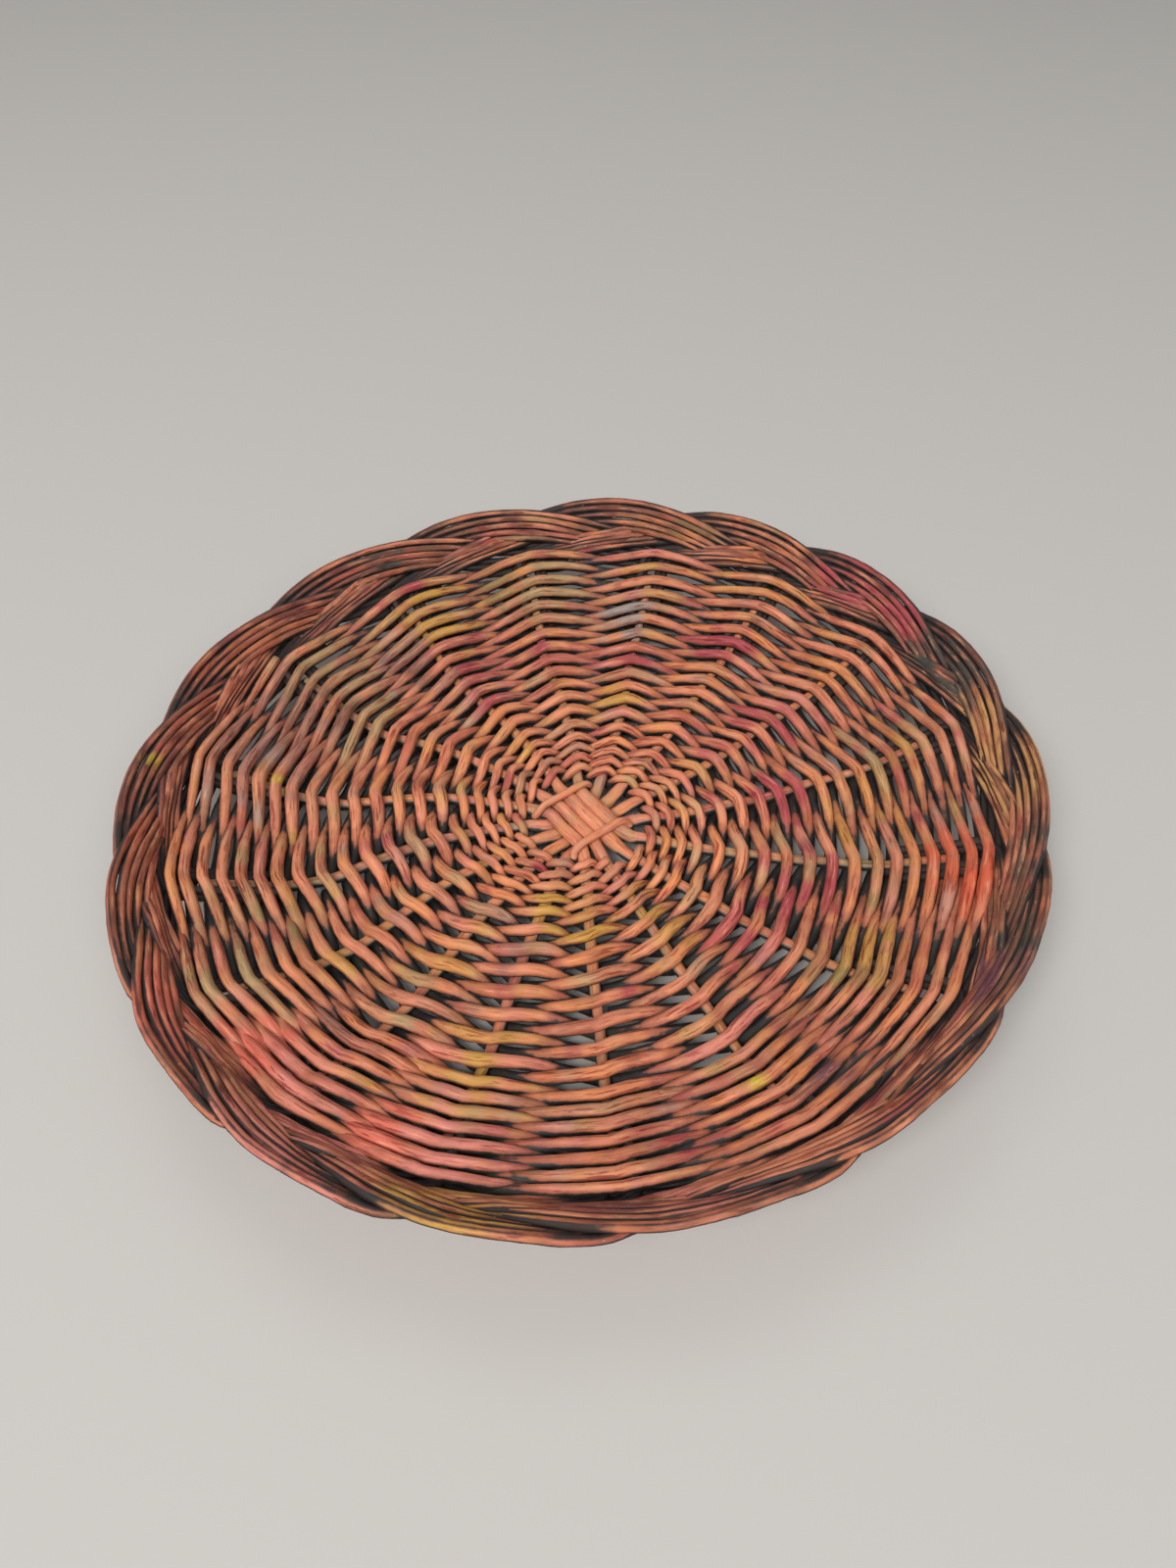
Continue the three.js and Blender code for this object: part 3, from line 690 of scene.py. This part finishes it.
# Weavers: two strands, twisted round each other between the spokes, in a spiral from the crossing out
weaver = {
    "turns": [(4, 5.4), (8, 8.1), (5.5, 5.8), (1, 4.0)],     # turns and their pitch, from the middle out
    "firstTurn": 21.7,           # radius where the spiral starts
    # by turn of the spiral
    "thickness": [(0, 2.9), (3, 3.2), (5, 4.3), (6, 4.6), (11, 4.6), (13, 4.4), (17, 4.1), (19, 3.8)],
    "taper": 0.14,
    "rodLength": 1165,           # how long willow rods of this thickness are
    "apart": 0.04,               # of a step, from the cut end of a rod to the middle of the spoke over it
    "spacing": 2.6,
    "longestStep": 0.1,
    "rootsFrom": 109.4,          # beyond this radius each spoke is as wide as its border roots
    "flat": (2.0, 4.6),          # half of the level stretch over a spoke, without and with roots
    "flattest": 0.2,             # and the most that is level, as a share of a step
    "kink": 0.65,                # how sharply a rod bends over a spoke
    "press": 0.35,               # how far it presses into the spoke
    "clear": (1.1, 0.2),         # below a spoke, its middle stays 1.1 radii and 0.2 mm above the table
    "sideways": (0.98, 0.6),     # how far the pair parts, in radii, and the room it keeps in close rows
    "roundness": 0.75,           # how soon it parts, sooner the lower this is
    "closest": 3.6,              # least pitch that it reckons with
    "straight": (0.85, 0.25),    # how straight rods run from spoke to spoke, and how much less at the edge
    "drift": (0.9, 0.3, 38),     # both strands stray in and out, less at the edge, over so many mm
    "stray": (0.4, 14),          # and each one by itself
    "rise": (0.25, 16),          # and up and down
    "crown": (0.4, 0.3),         # rods bow out of the floor between the spokes, less where there are no roots
    # for the old dark paint and painted shade: less of both within 30 mm of the crossing, and more in the
    # close outer rows
    "painted": (0.2, 30, 0.25),
}


def turnRadius(turn):
    radius = weaver["firstTurn"]
    for turns, pitch in weaver["turns"]:
        radius += pitch * min(max(turn, 0), turns)
        turn -= turns
    return radius


# A place in one strand, counted in spokes passed: over one spoke, round its partner, under the next.
# With it come the rod's radius there, its depth for the old dark paint and painted shade, and the length of a
# step.
def strandStation(passed, first):
    before = math.floor(passed)
    t = passed - before
    over = 1 if (before + first) % 2 == 0 else -1
    turn = passed / tray["spokes"]
    radiusHere = turnRadius(turn)
    stepLength = radiusHere * spokeStep
    looseness, tightInside, towards = tray["loose"]
    outward = clamp((radiusHere - tightInside) / (tray["edge"] - tightInside))
    rodRadius = fromTable(weaver["thickness"], turn) / 2

    # up and down over the spokes
    flat = weaver["flat"][0] if radiusHere < weaver["rootsFrom"] else weaver["flat"][1]
    flat = min(flat / stepLength, weaver["flattest"])
    x = clamp((t - flat) / (1 - 2 * flat))
    wave = weaver["kink"] * (1 - 2 * x) + (1 - weaver["kink"]) * math.cos(math.pi * x)
    lift = fromTable(baseStick["thickness"], radiusHere) / 2 + rodRadius - weaver["press"]
    if over * wave < 0:
        thick, gap = weaver["clear"]
        lift = min(lift, floorHeight(radiusHere) - rodRadius * thick - gap)

    # sideways round the partner
    pitch = min(turnRadius(turn + 0.5) - turnRadius(turn - 0.5), turnRadius(turn + 1) - radiusHere)
    wide, kept = weaver["sideways"]
    room = min(rodRadius * wide, max(pitch, weaver["closest"]) / 2 - rodRadius * kept)
    side = over * room * math.sin(math.pi * t) ** weaver["roundness"]

    # round the tray, nearly straight from spoke to spoke
    ends = []
    for k in (before, before + 1):
        angle = firstSpoke - k * spokeStep
        radius = turnRadius(k / tray["spokes"])
        ends.append(Vector((radius * math.cos(angle), radius * math.sin(angle), 0)))
    straight = weaver["straight"][0] - weaver["straight"][1] * outward
    radius = ends[0].lerp(ends[1], t).length * straight + radiusHere * (1 - straight)
    angle = firstSpoke - passed * spokeStep
    spot = Vector((radius * math.cos(angle), radius * math.sin(angle), 0))
    radius += looseness * outward * (0.5 + 0.5 * math.cos(angle - math.radians(towards)))
    drift, lessOut, driftSize = weaver["drift"]
    stray, straySize = weaver["stray"]
    drift = (drift - lessOut * outward) * wander(spot, driftSize, 1)
    radius += side + drift + stray * wander(spot, straySize, 2 + first)
    rise, riseSize = weaver["rise"]
    height = over * wave * lift + rise * wander(spot, riseSize, 5 + first)
    crown, crownShare = weaver["crown"]
    height += crown * over * math.sin(math.pi * t) * (1 if radiusHere > weaver["rootsFrom"] else crownShare)
    deeper, within, less = weaver["painted"]
    # the lower this depth, the more old dark paint and painted shade
    depth = over * wave + deeper * clamp(2 - radiusHere / within) - less * outward
    return handmade(onFloor(radius, angle, height)), rodRadius, depth, stepLength


passes = round(tray["spokes"] * sum(turns for turns, pitch in weaver["turns"]))
for first, letter in ((0, "a"), (1, "b")):
    rng = random.Random("strand" + letter)
    tones = [rng.random() for k in range(passes + 2)]

    # each rod ends where a spoke hides the cut, and the next one starts there
    cuts = []
    length = 0
    start = 0
    for k in range(passes):
        length += turnRadius(k / tray["spokes"]) * spokeStep
        if length > weaver["rodLength"] and (k + first) % 2 == 1 and passes - k > tray["spokes"] / 2:
            cuts.append((start, k))
            start = k
            length = 0
    cuts.append((start, passes - 1))
    for n, (begin, end) in enumerate(cuts):
        shape = rodShape(rng, weaver["rodLength"], weaver["taper"])
        passed = begin + weaver["apart"]
        rod = []
        along = 0
        while passed < end - weaver["apart"]:
            place, rodRadius, depth, stepLength = strandStation(passed, first)
            # one brush tone for each visible stretch, changed while the strand is under a spoke
            overAt = 2 * round((passed - first) / 2) + first
            tone = tones[min(max(overAt, 0), passes)]
            rod.append((*place, rodRadius * shape(along), depth, tone))
            step = min(weaver["spacing"] / stepLength, weaver["longestStep"])
            passed += step
            along += step * stepLength
        addPiece(f"weaverRod{letter.upper()}{n + 1:02d}", [rod], weavePatches, 8, weaverPaint,
                 f"weaver_{letter}_{n + 1:02d}")
print("weavers")

# Paint worn down to its rust and maroon coats: duller than the floor of the tray, with salmon crowns
# and black lines of old dark paint and painted shade between the thin rods
borderPaint = paintedWillow("Thin willow border rod, painted maroon and salmon", {
    "streak": 0.9, "bright": "#E29A74", "dull": "#6C3E30", "grain": 1.5, "flank": 3.3, "under": -0.9,
    "ragged": 0.8, "fringe": (1.0, 0.6), "fadedAndShaded": "#63382C", "dark": (0.76, 0.4),
    "darkPaintAndShade": ("#171413", "#2A201B"), "wear": 0.7,
})

# Border stakes: a bundle of thin rods beside each spoke, plaited into the rim as a flat ribbon
border = {
    "thickness": (3.3, 3.0),   # where a rod is pushed in beside its stick, and at its tip
    "length": 235,
    "half": 5.5,               # from the middle of a ribbon to its outermost rod
    "rise": 1.9,               # a ribbon lies this far above or below the middle of the plait
    "crown": 0.6,              # and its middle rods higher than its outer ones
    # steps clockwise from the root, distance up the border, level, roll, share of the width
    "ribbon": [
        (0.34, 0.8, 0.2, 0.2, 0.6), (0.6, 3.2, 0.9, 0, 0.7), (0.88, 7.0, 0.3, -0.4, 0.8),
        (1.12, 11.0, -0.9, -0.2, 0.9), (1.36, 13.4, -0.5, 0.5, 1), (1.6, 14.1, 0.2, 0.3, 1.04),
        (1.85, 13.3, 0.7, -0.3, 1.02), (2.1, 11.0, 1, -0.2, 1), (2.35, 7.4, 0.7, 0.2, 0.98),
        (2.6, 4.0, -0.5, 0.5, 0.95), (2.85, 1.8, -1.1, 0, 0.9), (3.1, 0.6, -1.1, 0, 0.85),
        (3.3, 0, -1.1, 0, 0.8),
    ],
    "placed": (-0.8, 0.5),     # each ribbon lies this much lower or higher up the border
    "stray": (0.5, 30),        # each rod strays sideways, over so many mm
    "lift": (0.45, 22),        # and up and down
    # one pair for each rod of a bundle: place beside the base stick, and height
    "roots": [(-5.9, -0.4), (-3.4, 0.1), (-4.6, 1.8), (3.4, 0.1), (5.9, -0.4)],
    "rootEnds": (-37, 9),      # where a root starts, inside the edge, and how much later at most
    "rootBends": (8, -18, -10, -6),     # one after its start, and the rest from the edge
    # where roots bend clockwise and lie down side by side: share of the place beside the stick, along, up,
    # how far up the bundle spreads, and share of the rise
    "lying": [(0.85, 2.0, -2.4, 1.2, -0.2), (0.5, 8.5, -0.4, 2.4, -0.4)],
    "turnUp": (6, 5.8),        # the edge turns up from so far inside to so far outside
    "depths": (0.85, 0.3, -0.5),     # for the old dark paint and painted shade: by level, in the middle of the plait, and at the roots
    "spacing": (6, 2.4),       # of the ribbon's stations, and of its rods'
}


# A place on the floor beyond its last row, or on the sloping border: along and up in mm, level above it
def onBorder(bundle, along, up, level):
    slope = math.radians(tray["slope"])
    beyond = max(up, 0)
    radius = tray["edge"] + min(up, 0)
    inside, outside = border["turnUp"]
    height = fromTable(tray["floor"], min(radius, tray["edge"])) if up > -inside else floorHeight(radius)
    tilt = slope * min(beyond / outside, 1)
    angle = firstSpoke - bundle * spokeStep - along / tray["step"] * spokeStep * tray["edge"] / radius
    out = radius + beyond * math.cos(slope) - math.sin(tilt) * level
    rise = height + beyond * math.sin(slope) + math.cos(tilt) * level
    return Vector((out * math.cos(angle), out * math.sin(angle), rise))


ribbonSpacing, rodSpacing = border["spacing"]
ribbon = smoothLine([
    (steps * tray["step"], up, 0, level, roll, width) for steps, up, level, roll, width in border["ribbon"]
], ribbonSpacing)
(stray, strayLength), (lift, liftLength) = border["stray"], border["lift"]
byLevel, inPlait, atRoots = border["depths"]
firstBend, *bends = border["rootBends"]
rootStations = len(bends) + 3      # up to the first that lies down
butt, tip = border["thickness"]
for bundle in range(tray["spokes"]):
    rng = random.Random(f"bundle{bundle}")
    lower = rng.uniform(*border["placed"])
    rods = []
    for j, (rootSide, rootHeight) in enumerate(border["roots"]):
        across = 1 - 2 * j / (len(border["roots"]) - 1)
        start = border["rootEnds"][0] + rng.uniform(0, border["rootEnds"][1])
        flat = [(rootSide, up, rootHeight) for up in (start, start + firstBend, *bends)]
        for share, along, up, spread, sink in border["lying"]:
            flat.append((rootSide * share + along, up + spread * across, sink * border["rise"]))
        wobble = rng.uniform(0, 50)
        for a, b in zip(ribbon, ribbon[1:]):
            tangent = Vector((b[0] - a[0], b[1] - a[1])).normalized()
            shift = across * border["half"] * a[5]
            shift = shift + stray * noise.noise(Vector((a[0] / strayLength, wobble, 0))) + lower
            level = border["rise"] * (a[3] + a[4] * across) + border["crown"] * (1 - across * across)
            level += lift * noise.noise(Vector((a[0] / liftLength, wobble, 9)))
            flat.append((a[0] - tangent.y * shift, a[1] + tangent.x * shift, level))
        stations = []
        for along, up, level in flat:
            atRoot = len(stations) < rootStations
            depth = atRoots if atRoot else level / border["rise"] * byLevel + inPlait
            stations.append((*handmade(onBorder(bundle, along, up, level)), 1, depth, 0))
        line = smoothLine(stations, rodSpacing)
        shape = rodShape(rng, border["length"], 0.0)
        tone = rng.random()
        rod = []
        for i, (x, y, z, _, depth, _) in enumerate(line):
            thickness = butt + (tip - butt) * i / (len(line) - 1)
            rod.append((x, y, z, thickness / 2 * shape(i * rodSpacing), depth, tone))
        rods.append(rod)
    addPiece(f"borderBundle{bundle + 1:02d}", rods, borderPatches, 8, borderPaint,
             f"border_stakes_{bundle + 1:02d}")
print("border stakes")
